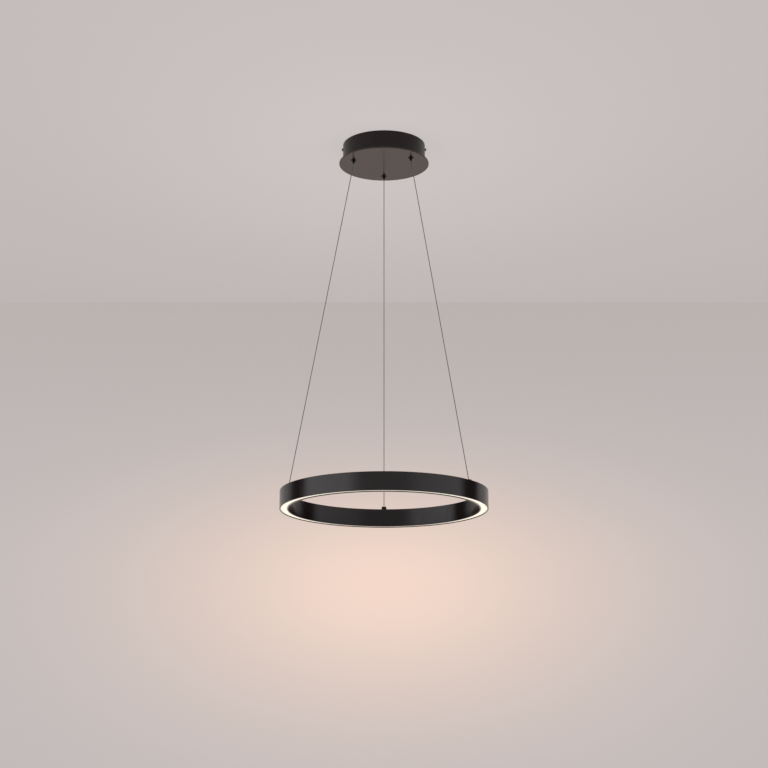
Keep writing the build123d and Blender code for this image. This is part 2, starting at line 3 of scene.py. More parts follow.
import bmesh
import bpy
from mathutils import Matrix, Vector


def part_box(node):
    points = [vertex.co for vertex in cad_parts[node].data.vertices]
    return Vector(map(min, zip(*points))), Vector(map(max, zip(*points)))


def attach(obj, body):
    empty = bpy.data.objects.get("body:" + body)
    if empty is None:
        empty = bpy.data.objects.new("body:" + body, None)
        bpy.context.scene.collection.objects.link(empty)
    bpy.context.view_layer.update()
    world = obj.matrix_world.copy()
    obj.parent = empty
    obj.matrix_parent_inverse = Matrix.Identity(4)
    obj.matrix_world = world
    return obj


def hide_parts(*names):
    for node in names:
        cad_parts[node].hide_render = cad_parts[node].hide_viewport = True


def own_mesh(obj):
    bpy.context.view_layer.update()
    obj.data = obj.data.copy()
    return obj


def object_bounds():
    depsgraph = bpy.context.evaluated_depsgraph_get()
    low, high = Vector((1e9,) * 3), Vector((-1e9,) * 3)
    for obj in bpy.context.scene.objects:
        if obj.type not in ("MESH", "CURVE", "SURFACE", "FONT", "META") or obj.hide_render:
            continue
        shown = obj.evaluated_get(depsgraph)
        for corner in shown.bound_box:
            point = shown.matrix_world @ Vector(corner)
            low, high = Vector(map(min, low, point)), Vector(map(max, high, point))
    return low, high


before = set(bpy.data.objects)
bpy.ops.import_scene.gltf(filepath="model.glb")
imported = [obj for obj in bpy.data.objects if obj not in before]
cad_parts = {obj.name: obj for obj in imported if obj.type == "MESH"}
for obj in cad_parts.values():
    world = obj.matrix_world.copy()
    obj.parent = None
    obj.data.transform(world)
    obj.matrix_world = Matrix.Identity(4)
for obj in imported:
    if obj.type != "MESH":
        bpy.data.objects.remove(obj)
cadLow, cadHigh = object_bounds()
hangers = ("left", "right", "rear")
meshing = {"weld": 0.000001, "creaseAngle": 35, "sortDigits": 5}


# Small helpers for node trees and the pieces made from them

def addNode(tree, kind, inputs=None, **settings):
    made = tree.nodes.new(kind)
    for key, value in settings.items():
        setattr(made, key, value)
    for key, value in (inputs or {}).items():
        if isinstance(value, bpy.types.NodeSocket):
            tree.links.new(value, made.inputs[key])
        else:
            made.inputs[key].default_value = value
    return made


def calc(tree, operation, *values):
    return addNode(tree, "ShaderNodeMath", dict(enumerate(values)), operation=operation).outputs[0]


def calcVector(tree, operation, *values):
    return addNode(tree, "ShaderNodeVectorMath", dict(enumerate(values)), operation=operation).outputs


# Carries a value from one span of numbers to another, and holds it within that
def mapRange(tree, value, span, wanted=(0.0, 1.0), bend="LINEAR"):
    mapped = addNode(tree, "ShaderNodeMapRange", interpolation_type=bend, inputs={
        "Value": value, "From Min": span[0], "From Max": span[1], "To Min": wanted[0], "To Max": wanted[1]})
    return mapped.outputs["Result"]


# Mixes two colours, each a socket or three plain numbers, by the colour sockets of the Mix node
def mixColour(tree, mask, low, high):
    low, high = [(*colour, 1.0) if isinstance(colour, tuple) else colour for colour in (low, high)]
    return addNode(tree, "ShaderNodeMix", {0: mask, 6: low, 7: high}, data_type="RGBA").outputs[2]


def linkObject(name, data):
    obj = bpy.data.objects.new(name, data)
    bpy.context.scene.collection.objects.link(obj)
    return obj


def newShapeTree(name, sizes):
    tree = bpy.data.node_groups.new(name, "GeometryNodeTree")
    tree.interface.new_socket("Geometry", in_out="INPUT", socket_type="NodeSocketGeometry")
    for label, kind in sizes.items():
        tree.interface.new_socket(label, in_out="INPUT", socket_type="NodeSocket" + kind)
    tree.interface.new_socket("Material", in_out="INPUT", socket_type="NodeSocketMaterial")
    tree.interface.new_socket("Geometry", in_out="OUTPUT", socket_type="NodeSocketGeometry")
    return tree, addNode(tree, "NodeGroupInput").outputs


# Smooth shading with sharp creases, then real geometry in the piece's material
def endShapeTree(tree, given, shape):
    smooth = addNode(tree, "GeometryNodeSetShadeSmooth", {"Geometry": shape})
    angle = addNode(tree, "GeometryNodeInputMeshEdgeAngle").outputs["Unsigned Angle"]
    crease = addNode(tree, "FunctionNodeCompare", {"A": angle, "B": math.radians(meshing["creaseAngle"])})
    sharp = addNode(tree, "GeometryNodeSetShadeSmooth", domain="EDGE", inputs={
        "Geometry": smooth.outputs[0], "Selection": crease.outputs[0], "Shade Smooth": False})
    real = addNode(tree, "GeometryNodeRealizeInstances", {"Geometry": sharp.outputs[0]})
    painted = addNode(tree, "GeometryNodeSetMaterial", {
        "Geometry": real.outputs[0], "Material": given["Material"]})
    addNode(tree, "NodeGroupOutput", {"Geometry": painted.outputs[0]})


# One copy of a shape on each point of the host
# outwards names the axis of the copy that turns away from the light's middle
def setOnPoints(tree, given, shape, outwards=None):
    copies = addNode(tree, "GeometryNodeInstanceOnPoints", {"Points": given["Geometry"], "Instance": shape})
    if outwards:
        place = addNode(tree, "GeometryNodeInputPosition").outputs[0]
        level = calcVector(tree, "MULTIPLY", place, (1, 1, 0))[0]
        turn = addNode(tree, "FunctionNodeAlignRotationToVector", {"Vector": level}, axis=outwards)
        tree.links.new(turn.outputs[0], copies.inputs["Rotation"])
    endShapeTree(tree, given, copies.outputs[0])


def bakeShape(name, host, tree, sizes, material):
    modifier = host.modifiers.new("shape", "NODES")
    modifier.node_group = tree
    values = {**sizes, "Material": material}
    for item in tree.interface.items_tree:
        if item.in_out == "INPUT" and item.name in values:
            modifier[item.identifier] = values[item.name]
    evaluated = host.evaluated_get(bpy.context.evaluated_depsgraph_get())
    mesh = bpy.data.meshes.new_from_object(evaluated)
    mesh.name = name
    host.modifiers.remove(modifier)
    bpy.data.objects.remove(host)
    return linkObject(name, mesh)


def pointHost(name, places):
    mesh = bpy.data.meshes.new(name)
    mesh.from_pydata([tuple(place) for place in places], [], [])
    return linkObject(name, mesh)


# What the frame says about nodes

def middleOf(box):
    return (box[0] + box[1]) / 2


# How far each vertex of a CAD node lies from an upright axis: the light's own, or another
def reaches(node, axis=(0, 0)):
    return [(vertex.co.xy - Vector(axis)).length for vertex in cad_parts[node].data.vertices]


# The lowest and highest corner of each separate solid in a CAD node
def solidBoxes(node):
    shape = bmesh.new()
    shape.from_mesh(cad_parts[node].data)
    bmesh.ops.remove_doubles(shape, verts=shape.verts, dist=meshing["weld"])
    boxes, waiting = [], set(shape.verts)
    while waiting:
        group, front = [], [waiting.pop()]
        while front:
            corner = front.pop()
            group.append(corner.co.copy())
            beside = {edge.other_vert(corner) for edge in corner.link_edges} & waiting
            waiting -= beside
            front.extend(beside)
        boxes.append([Vector([pick(co[axis] for co in group) for axis in range(3)]) for pick in (min, max)])
    shape.free()
    return sorted(boxes, key=lambda box: [round(value, meshing["sortDigits"]) for value in box[0]])


# Camera, at the photograph's viewing angle

cameraSetup = {"lens": 82.964, "sensor": 36.0, "place": (0.0, -3.34083, -1.35529), "pitch": 14.4244}


def placeCamera():
    data = bpy.data.cameras.new("viewer")
    data.lens = cameraSetup["lens"]
    data.sensor_width = cameraSetup["sensor"]
    viewer = linkObject("viewer", data)
    viewer.location = cameraSetup["place"]
    viewer.rotation_euler = (math.radians(90 + cameraSetup["pitch"]), 0, 0)
    bpy.context.scene.camera = viewer


placeCamera()
print("camera placed")


# Shared surface effects, each a group that puts out masks and heights

def newEffect(name, inputs, outputs):
    tree = bpy.data.node_groups.new(name, "ShaderNodeTree")
    for label, value in inputs.items():
        socket = tree.interface.new_socket(label, in_out="INPUT", socket_type="NodeSocketFloat")
        socket.default_value = value
    for label in outputs:
        tree.interface.new_socket(label, in_out="OUTPUT", socket_type="NodeSocketFloat")
    place = addNode(tree, "ShaderNodeTexCoord").outputs["Object"]
    return tree, addNode(tree, "NodeGroupInput").outputs, place


def addNoise(tree, place, scale, detail, twist=0.0):
    noise = addNode(tree, "ShaderNodeTexNoise", {
        "Vector": place, "Scale": scale, "Detail": detail, "Distortion": twist})
    return noise.outputs["Fac"]


# Sprayed paint: a fine peel on top, and a slow drift in tone and gloss
paintPeel = {"peel": 900.0, "peelDetail": 2.0, "drift": 14.0, "driftDetail": 4.0, "haze": 60.0,
             "hazeDetail": 6.0, "hazeStretch": (1.0, 1.0, 0.35)}


def makePaintPeel():
    inputs = {"Peel": paintPeel["peel"], "Drift": paintPeel["drift"]}
    tree, given, place = newEffect("paintPeel", inputs, ("Height", "Tone", "Gloss"))
    smeared = calcVector(tree, "MULTIPLY", place, paintPeel["hazeStretch"])[0]
    addNode(tree, "NodeGroupOutput", {
        "Height": addNoise(tree, place, given["Peel"], paintPeel["peelDetail"]),
        "Tone": addNoise(tree, place, given["Drift"], paintPeel["driftDetail"]),
        "Gloss": addNoise(tree, smeared, paintPeel["haze"], paintPeel["hazeDetail"])})
    return tree


# House dust: it lies only where the surface faces up, in uneven patches
restingDust = {"amount": 0.07, "tone": (0.20, 0.185, 0.17), "patches": 90.0, "detail": 8.0,
               "level": (0.6, 0.95), "uneven": (0.3, 0.75), "least": 0.25}


def makeRestingDust():
    inputs = {"Amount": restingDust["amount"], "Patches": restingDust["patches"]}
    tree, given, place = newEffect("restingDust", inputs, ("Mask",))
    normal = addNode(tree, "ShaderNodeNewGeometry").outputs["Normal"]
    up = addNode(tree, "ShaderNodeSeparateXYZ", {"Vector": normal}).outputs["Z"]
    level = mapRange(tree, up, restingDust["level"])
    patches = addNoise(tree, place, given["Patches"], restingDust["detail"])
    uneven = mapRange(tree, patches, restingDust["uneven"], (restingDust["least"], 1.0))
    mask = calc(tree, "MULTIPLY", level, uneven)
    addNode(tree, "NodeGroupOutput", {"Mask": calc(tree, "MULTIPLY", mask, given["Amount"])})
    return tree


# Drawn, rolled or turned metal: lines along one axis and a cloudy tarnish
metalGrain = {"across": 300.0, "lineDetail": 5.0, "cloud": 40.0, "cloudDetail": 4.0}


def makeMetalGrain():
    inputs = {f"Across {axis}": metalGrain["across"] for axis in "XYZ"}
    inputs["Cloud"] = metalGrain["cloud"]
    tree, given, place = newEffect("metalGrain", inputs, ("Lines", "Cloud"))
    stretch = addNode(tree, "ShaderNodeCombineXYZ", {axis: given[f"Across {axis}"] for axis in "XYZ"})
    drawn = calcVector(tree, "MULTIPLY", place, stretch.outputs[0])[0]
    addNode(tree, "NodeGroupOutput", {
        "Lines": addNoise(tree, drawn, 1.0, metalGrain["lineDetail"]),
        "Cloud": addNoise(tree, place, given["Cloud"], metalGrain["cloudDetail"])})
    return tree


# Moulded plastic: the eroded tool's fine grain and a faint flow mark
mouldGrain = {"grain": 1600.0, "flow": 50.0, "flowDetail": 3.0, "flowTwist": 1.5}


def makeMouldGrain():
    inputs = {"Grain": mouldGrain["grain"], "Flow": mouldGrain["flow"]}
    tree, given, place = newEffect("mouldGrain", inputs, ("Height", "Flow"))
    grain = addNode(tree, "ShaderNodeTexVoronoi", {"Vector": place, "Scale": given["Grain"]})
    flow = addNoise(tree, place, given["Flow"], mouldGrain["flowDetail"], mouldGrain["flowTwist"])
    addNode(tree, "NodeGroupOutput", {"Height": grain.outputs["Distance"], "Flow": flow})
    return tree


effects = {"paint": makePaintPeel(), "dust": makeRestingDust(), "metal": makeMetalGrain(),
           "mould": makeMouldGrain()}
print("surface effects made:", ", ".join(effects))


# Finishes, one for each material slot of the CAD nodes

maskSpan = (0.3, 0.7)  # where nearly all values of a noise mask lie
relief = {"paint": {"strength": 0.06, "depth": 0.0001}, "smoothPaint": {"strength": 0.03, "depth": 0.0001},
          "metal": {"strength": 0.05, "depth": 0.00005}, "mould": {"strength": 0.08, "depth": 0.00005},
          "opal": {"strength": 0.05, "depth": 0.00005}}


def addEffect(tree, effect, **values):
    group = addNode(tree, "ShaderNodeGroup", node_tree=effects[effect])
    for label, value in values.items():
        group.inputs[label].default_value = value
    return group.outputs


def newFinish(name, effect, **values):
    material = bpy.data.materials.new(name)
    material.use_nodes = True
    tree = material.node_tree
    return material, tree, tree.nodes["Principled BSDF"], addEffect(tree, effect, **values)


def spreadColour(tree, mask, low, high):
    ramp = addNode(tree, "ShaderNodeValToRGB", {"Fac": mask})
    for element, place, colour in zip(ramp.color_ramp.elements, maskSpan, (low, high)):
        element.position = place
        element.color = (*colour, 1.0)
    return ramp.outputs["Color"]


def dent(tree, shader, height, surface):
    bump = addNode(tree, "ShaderNodeBump", {
        "Height": height, "Strength": relief[surface]["strength"], "Distance": relief[surface]["depth"]})
    tree.links.new(bump.outputs["Normal"], shader.inputs["Normal"])


def paintFinish(name, low, high, gloss, peel=paintPeel["peel"], surface="paint", sheen=0.5):
    material, tree, shader, paint = newFinish(name, "paint", Peel=peel)
    shader.inputs["Specular IOR Level"].default_value = sheen
    settled = addEffect(tree, "dust")["Mask"]
    tone = mixColour(tree, settled, spreadColour(tree, paint["Tone"], low, high), restingDust["tone"])
    tree.links.new(tone, shader.inputs["Base Color"])
    rough = calc(tree, "ADD", mapRange(tree, paint["Gloss"], maskSpan, gloss), settled)
    tree.links.new(rough, shader.inputs["Roughness"])
    dent(tree, shader, paint["Height"], surface)
    return material


# lines are the grain's scales along the three axes, and bare is the share of metal that isn't tarnished
def metalFinish(name, low, high, gloss, lines, bare=1.0):
    across = {f"Across {axis}": scale for axis, scale in zip("XYZ", lines)}
    material, tree, shader, grain = newFinish(name, "metal", **across)
    shader.inputs["Metallic"].default_value = bare
    tree.links.new(spreadColour(tree, grain["Cloud"], low, high), shader.inputs["Base Color"])
    tree.links.new(mapRange(tree, grain["Lines"], maskSpan, gloss), shader.inputs["Roughness"])
    dent(tree, shader, grain["Lines"], "metal")
    return material


def plasticFinish(name, low, high, gloss, grain=mouldGrain["grain"]):
    material, tree, shader, mould = newFinish(name, "mould", Grain=grain)
    tree.links.new(spreadColour(tree, mould["Flow"], low, high), shader.inputs["Base Color"])
    tree.links.new(mapRange(tree, mould["Flow"], maskSpan, gloss), shader.inputs["Roughness"])
    dent(tree, shader, mould["Height"], "mould")
    return material


# The lit opal strip: warm white, a little dimmer beside the walls and between the chips
opal = {"lit": (1.0, 0.93, 0.77), "edge": (0.90, 0.80, 0.62), "strength": 0.69, "dimFrom": 0.41,
        "dimTo": 1.127, "beat": 0.04, "shade": ((0.72, 0.70, 0.66), (0.78, 0.76, 0.72)), "gloss": (0.5, 0.6),
        "grain": 2200.0}


def opalFinish(name):
    material, tree, shader, mould = newFinish(name, "mould", Grain=opal["grain"])
    inner, outer = [pick(reaches("diffuser")) for pick in (min, max)]
    halfWidth = (outer - inner) / 2
    place = addNode(tree, "ShaderNodeTexCoord").outputs["Object"]
    axis = addNode(tree, "ShaderNodeSeparateXYZ", {"Vector": place}).outputs
    level = calcVector(tree, "MULTIPLY", place, (1, 1, 0))[0]
    reach = calcVector(tree, "LENGTH", level)["Value"]
    offset = calc(tree, "ABSOLUTE", calc(tree, "SUBTRACT", reach, inner + halfWidth))
    dimSpan = (opal["dimFrom"] * halfWidth, opal["dimTo"] * halfWidth)
    edge = mapRange(tree, offset, dimSpan, bend="SMOOTHSTEP")
    turn = calc(tree, "ARCTAN2", axis["Y"], axis["X"])
    beat = calc(tree, "COSINE", calc(tree, "MULTIPLY", turn, len(solidBoxes("led_chips"))))
    shade = calc(tree, "MULTIPLY_ADD", beat, -opal["beat"], edge)
    tree.links.new(mixColour(tree, shade, opal["lit"], opal["edge"]), shader.inputs["Emission Color"])
    shader.inputs["Emission Strength"].default_value = opal["strength"]
    tree.links.new(spreadColour(tree, mould["Flow"], *opal["shade"]), shader.inputs["Base Color"])
    tree.links.new(mapRange(tree, mould["Flow"], maskSpan, opal["gloss"]), shader.inputs["Roughness"])
    dent(tree, shader, mould["Height"], "opal")
    return material


ringPaint = {"low": (0.0055, 0.0022, 0.0027), "high": (0.0072, 0.0036, 0.004), "gloss": (0.17, 0.25)}
finishes = {
    "black_aluminium": paintFinish("ringBlack", **ringPaint),
    "black_steel": paintFinish(
        "canopyBlack", (0.007, 0.0025, 0.0027), (0.009, 0.0035, 0.004), (0.30, 0.38), sheen=0.31),
    "black_fitting": paintFinish(
        "fittingBlack", (0.0015, 0.0015, 0.0015), (0.003, 0.0028, 0.0028), (0.32, 0.42), peel=2400.0,
        sheen=0.18),
    "dark_screw": metalFinish(
        "screwBlack", (0.03, 0.03, 0.032), (0.05, 0.05, 0.052), (0.4, 0.5), (900, 900, 900)),
    "wire_steel": metalFinish(
        "wireSteel", (0.155, 0.149, 0.146), (0.215, 0.208, 0.204), (0.50, 0.62), (500, 500, 60), bare=0.45),
    "zinc_steel": metalFinish(
        "zincPlate", (0.56, 0.58, 0.60), (0.70, 0.71, 0.70), (0.28, 0.44), (60, 900, 900)),
    "plain_brass": metalFinish(
        "brass", (0.72, 0.52, 0.24), (0.82, 0.62, 0.32), (0.25, 0.38), (900, 900, 60)),
    "black_nylon": plasticFinish("bushNylon", (0.004, 0.004, 0.004), (0.008, 0.008, 0.008), (0.50, 0.60)),
    "white_plastic": plasticFinish("casePlastic", (0.70, 0.70, 0.68), (0.76, 0.76, 0.74), (0.42, 0.52)),
    "natural_nylon": plasticFinish("terminalNylon", (0.66, 0.62, 0.52), (0.74, 0.71, 0.62), (0.38, 0.5)),
    "green_board": plasticFinish(
        "driverBoardMask", (0.01, 0.10, 0.04), (0.02, 0.15, 0.06), (0.28, 0.4), grain=300.0),
    "white_board": plasticFinish(
        "ledBoardMask", (0.74, 0.74, 0.72), (0.80, 0.80, 0.78), (0.3, 0.4), grain=300.0),
    "ferrite": plasticFinish(
        "ferriteCore", (0.03, 0.03, 0.032), (0.06, 0.06, 0.062), (0.5, 0.65), grain=3000.0),
    "capacitor_sleeve": plasticFinish(
        "capacitorSleeve", (0.01, 0.02, 0.06), (0.02, 0.03, 0.09), (0.3, 0.4)),
    "led_phosphor": plasticFinish(
        "ledPhosphor", (0.80, 0.66, 0.20), (0.86, 0.74, 0.30), (0.4, 0.5), grain=4000.0),
    "opal_diffuser": opalFinish("opalStrip"),
}
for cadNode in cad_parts.values():
    for cadSlot in cadNode.material_slots:
        cadSlot.material = finishes[cadSlot.material.name]
# The plate's paint lies smoother than the cup's, and mirrors the grippers under it
plateFinish = paintFinish(
    "plateBlack", (0.010, 0.0045, 0.003), (0.014, 0.006, 0.0045), (0.18, 0.24), surface="smoothPaint",
    sheen=0.6)
# The wall that faces the ring's middle wears the ring's paint with weaker reflection, so that it renders
# darker: painted shade
innerShadeFinish = paintFinish("innerShadedBlack", **ringPaint, sheen=0.39)
print("finishes made:", len(finishes))


# A piece that stands for CAD nodes: it rides on their body, and the nodes it stands for are hidden
def standFor(piece, body, slot, *nodes):
    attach(piece, body)
    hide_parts(*nodes)


# Wires: fine strands laid round a core, taut from the gripper to the ball in the ring's cap

wire = {"diameter": 0.0015, "lay": 0.013, "step": 0.0009, "sides": 5, "strands": 12, "endRun": 6,
        "swing": 0.00022}


def makeWireTree():
    tree, given = newShapeTree("strandedWire", {
        "Diameter": "Float", "Lay": "Float", "Step": "Float", "Sides": "Int", "Strands": "Int"})
    # The strands touch each other, so their size follows from how many go round
    lean = calc(tree, "SINE", calc(tree, "DIVIDE", math.pi, given["Strands"]))
    share = calc(tree, "DIVIDE", lean, calc(tree, "ADD", lean, 1.0))
    half = calc(tree, "MULTIPLY", given["Diameter"], 0.5)
    strandRadius = calc(tree, "MULTIPLY", half, share)
    seatRadius = calc(tree, "SUBTRACT", half, strandRadius)
    seats = addNode(tree, "GeometryNodeMeshCircle", {"Vertices": given["Strands"], "Radius": seatRadius})
    strand = addNode(tree, "GeometryNodeCurvePrimitiveCircle", {
        "Resolution": given["Sides"], "Radius": strandRadius})
    core = addNode(tree, "GeometryNodeCurvePrimitiveCircle", {
        "Resolution": given["Strands"], "Radius": calc(tree, "SUBTRACT", seatRadius, strandRadius)})
    laid = addNode(tree, "GeometryNodeInstanceOnPoints", {
        "Points": seats.outputs["Mesh"], "Instance": strand.outputs["Curve"]})
    section = addNode(tree, "GeometryNodeJoinGeometry")
    tree.links.new(laid.outputs[0], section.inputs[0])
    tree.links.new(core.outputs["Curve"], section.inputs[0])
    section = addNode(tree, "GeometryNodeRealizeInstances", {"Geometry": section.outputs[0]})
    route = addNode(tree, "GeometryNodeResampleCurve", mode="LENGTH", inputs={
        "Curve": given["Geometry"], "Length": given["Step"]})
    along = addNode(tree, "GeometryNodeSplineParameter").outputs["Length"]
    twist = calc(tree, "MULTIPLY", calc(tree, "DIVIDE", along, given["Lay"]), 2 * math.pi)
    twisted = addNode(tree, "GeometryNodeSetCurveTilt", {"Curve": route.outputs[0], "Tilt": twist})
    swept = addNode(tree, "GeometryNodeCurveToMesh", {
        "Curve": twisted.outputs[0], "Profile Curve": section.outputs[0], "Fill Caps": True})
    endShapeTree(tree, given, swept.outputs[0])
    return tree


def routeCurve(name, points):
    data = bpy.data.curves.new(name, "CURVE")
    data.dimensions = "3D"
    spline = data.splines.new("NURBS")
    spline.points.add(len(points) - 1)
    for target, point in zip(spline.points, points):
        target.co = (*point, 1.0)
    spline.order_u = 3
    spline.use_endpoint_u = True
    return linkObject(name, data)


def routePoints(curve):
    evaluated = curve.evaluated_get(bpy.context.evaluated_depsgraph_get())
    line = bpy.data.meshes.new_from_object(evaluated)
    points = [vertex.co.copy() for vertex in line.vertices]
    bpy.data.meshes.remove(line)
    return points


# A straight stretch of stranded wire, and the points that it follows
def layWire(name, tree, start, end):
    near = (end - start).normalized() * wire["diameter"] * wire["endRun"]
    route = routeCurve(name + "_route", (start, start + near, end - near, end))
    line = routePoints(route)
    sizes = {"Diameter": wire["diameter"], "Lay": wire["lay"], "Step": wire["step"],
             "Sides": wire["sides"], "Strands": wire["strands"]}
    return bakeShape(name, route, tree, sizes, finishes["wire_steel"]), line


# The taut stretch hangs from the plunger's tip
# The tail stands in the gripper, and shows above it
def makeWires():
    tree = makeWireTree()
    for side in hangers:
        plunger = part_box(f"gripper_plunger_{side}")
        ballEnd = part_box(f"wire_end_{side}")
        ballRadius = (ballEnd[1].x - ballEnd[0].x) / 2
        leave = Vector((*middleOf(plunger).xy, plunger[0].z))
        ball = Vector((*middleOf(ballEnd).xy, ballEnd[1].z - ballRadius))
        # The strands stop short of the ball, with room to lean as the ring rises
        end = ball - (ball - leave).normalized() * (ballRadius + wire["swing"])
        tailTop = Vector((leave.x, leave.y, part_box(f"wire_tail_{side}")[1].z))
        tailStrands, _ = layWire(f"wireTail_{side}", tree, leave, tailTop)
        standFor(tailStrands, "canopy", "wire_steel", f"wire_tail_{side}")
        strands, line = layWire(f"wireStrands_{side}", tree, leave, end)
        standFor(strands, "canopy", "wire_steel", f"wire_{side}")
        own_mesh(strands)
        print("wire", side, "length", round((end - leave).length, 4), "faces", len(strands.data.polygons))


makeWires()


# Wound forms: the return spring in each gripper, and the thread on each gripper's stem

spring = {"rod": 0.0005, "turns": 5.5, "flatEnds": 1.25, "sides": 10, "stepsPerTurn": 40}
thread = {"rod": 0.0005, "pitch": 0.00075, "sink": 0.00012, "sides": 4, "stepsPerTurn": 36}


# A rod wound on a cylinder, standing on height zero; the flat end turns lie rod on rod
def makeCoilTree():
    tree, given = newShapeTree("woundRod", {
        "Radius": "Float", "Rod": "Float", "Height": "Float", "Turns": "Float", "Flat Ends": "Float",
        "Sides": "Int", "Steps": "Int"})
    line = addNode(tree, "GeometryNodeCurvePrimitiveLine")
    stepped = addNode(tree, "GeometryNodeResampleCurve", mode="COUNT", inputs={
        "Curve": line.outputs[0], "Count": given["Steps"]})
    along = addNode(tree, "GeometryNodeSplineParameter").outputs["Factor"]
    angle = calc(tree, "MULTIPLY", calc(tree, "MULTIPLY", along, given["Turns"]), 2 * math.pi)
    flatShare = calc(tree, "DIVIDE", given["Flat Ends"], given["Turns"])
    openShare = calc(tree, "SUBTRACT", 1.0, flatShare)
    flatRise = calc(tree, "MULTIPLY", given["Flat Ends"], given["Rod"])
    wholeRise = calc(tree, "SUBTRACT", given["Height"], given["Rod"])
    openRise = calc(tree, "MULTIPLY_ADD", flatRise, -2.0, wholeRise)
    rodRadius = calc(tree, "MULTIPLY", given["Rod"], 0.5)
    rise = rodRadius
    stretches = ((0.0, flatShare, flatRise), (flatShare, openShare, openRise), (openShare, 1.0, flatRise))
    for start, stop, climb in stretches:
        rise = calc(tree, "ADD", rise, mapRange(tree, along, (start, stop), (0.0, climb)))
    place = addNode(tree, "ShaderNodeCombineXYZ", {
        "X": calc(tree, "MULTIPLY", given["Radius"], calc(tree, "COSINE", angle)),
        "Y": calc(tree, "MULTIPLY", given["Radius"], calc(tree, "SINE", angle)), "Z": rise})
    wound = addNode(tree, "GeometryNodeSetPosition", {
        "Geometry": stepped.outputs[0], "Position": place.outputs[0]})
    section = addNode(tree, "GeometryNodeCurvePrimitiveCircle", {
        "Resolution": given["Sides"], "Radius": rodRadius})
    swept = addNode(tree, "GeometryNodeCurveToMesh", {
        "Curve": wound.outputs[0], "Profile Curve": section.outputs[0], "Fill Caps": True})
    setOnPoints(tree, given, swept.outputs[0])
    return tree


def makeSprings(tree):
    for side in hangers:
        low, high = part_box(f"gripper_spring_{side}")
        middle = middleOf((low, high))
        height = high.z - low.z
        sizes = {"Radius": (high.x - low.x - spring["rod"]) / 2, "Rod": spring["rod"], "Height": height,
                 "Turns": spring["turns"], "Flat Ends": spring["flatEnds"], "Sides": spring["sides"],
                 "Steps": round(spring["turns"] * spring["stepsPerTurn"])}
        host = pointHost("springSeat", [(middle.x, middle.y, low.z)])
        coil = bakeShape(f"returnSpring_{side}", host, tree, sizes, finishes["zinc_steel"])
        standFor(coil, "canopy", "zinc_steel", f"gripper_spring_{side}")
        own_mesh(coil)


# Ridges on the stem between the gripper's nut and its top; the stem is as wide as the nut's bore
def makeThreads(tree):
    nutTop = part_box("gripper_nuts")[1].z
    bodies = [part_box(f"gripper_body_{side}") for side in hangers]
    height = bodies[0][1].z - nutTop
    turns = height / thread["pitch"]
    stemRadius = min(reaches("gripper_nuts", middleOf(solidBoxes("gripper_nuts")[0]).xy))
    sizes = {"Radius": stemRadius - thread["sink"], "Rod": thread["rod"], "Height": height, "Turns": turns,
             "Flat Ends": 0.0, "Sides": thread["sides"], "Steps": round(turns * thread["stepsPerTurn"])}
    host = pointHost("stemSeats", [(*middleOf(box).xy, nutTop) for box in bodies])
    ridges = bakeShape("gripperThreads", host, tree, sizes, finishes["black_fitting"])
    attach(ridges, "canopy")


coilTree = makeCoilTree()
makeSprings(coilTree)
makeThreads(coilTree)
print("springs and threads wound")


# Fasteners: one tree shapes each kind and sets a copy on every seat that the frame shows

nut = {"corners": 6, "chamfer": 0.97, "chamferAngle": 30, "conePast": 0.25, "drillLength": 3.0, "around": 48}
slotScrew = {"slotWidth": 0.0006, "slotDepth": 0.0009, "slotLength": 3.0, "around": 32}
domeScrew = {"recess": 0.0011, "recessDepth": 0.0012, "armLength": 3.4, "shankSunk": 0.1,
             "headMargin": 0.0005, "around": 48}


def cutMesh(tree, operation, first, *others):
    made = addNode(tree, "GeometryNodeMeshBoolean", operation=operation, solver="EXACT")
    if operation == "DIFFERENCE":
        tree.links.new(first, made.inputs[0])
    else:
        others = (first, *others)
    for other in others:
        tree.links.new(other, made.inputs[1])
    return made.outputs["Mesh"]


def liftMesh(tree, mesh, lift):
    offset = addNode(tree, "ShaderNodeCombineXYZ", {"Z": lift})
    moved = addNode(tree, "GeometryNodeTransform", {"Geometry": mesh, "Translation": offset.outputs[0]})
    return moved.outputs[0]


def addCylinder(tree, around, radius, depth, lift=0.0):
    made = addNode(tree, "GeometryNodeMeshCylinder", {"Vertices": around, "Radius": radius, "Depth": depth})
    return liftMesh(tree, made.outputs["Mesh"], lift)


# A block with its middle at a height, so that its lower half cuts and its upper half stands clear
def addBlock(tree, x, y, z, lift):
    size = addNode(tree, "ShaderNodeCombineXYZ", {"X": x, "Y": y, "Z": z})
    made = addNode(tree, "GeometryNodeMeshCube", {"Size": size.outputs[0]})
    return liftMesh(tree, made.outputs["Mesh"], lift)


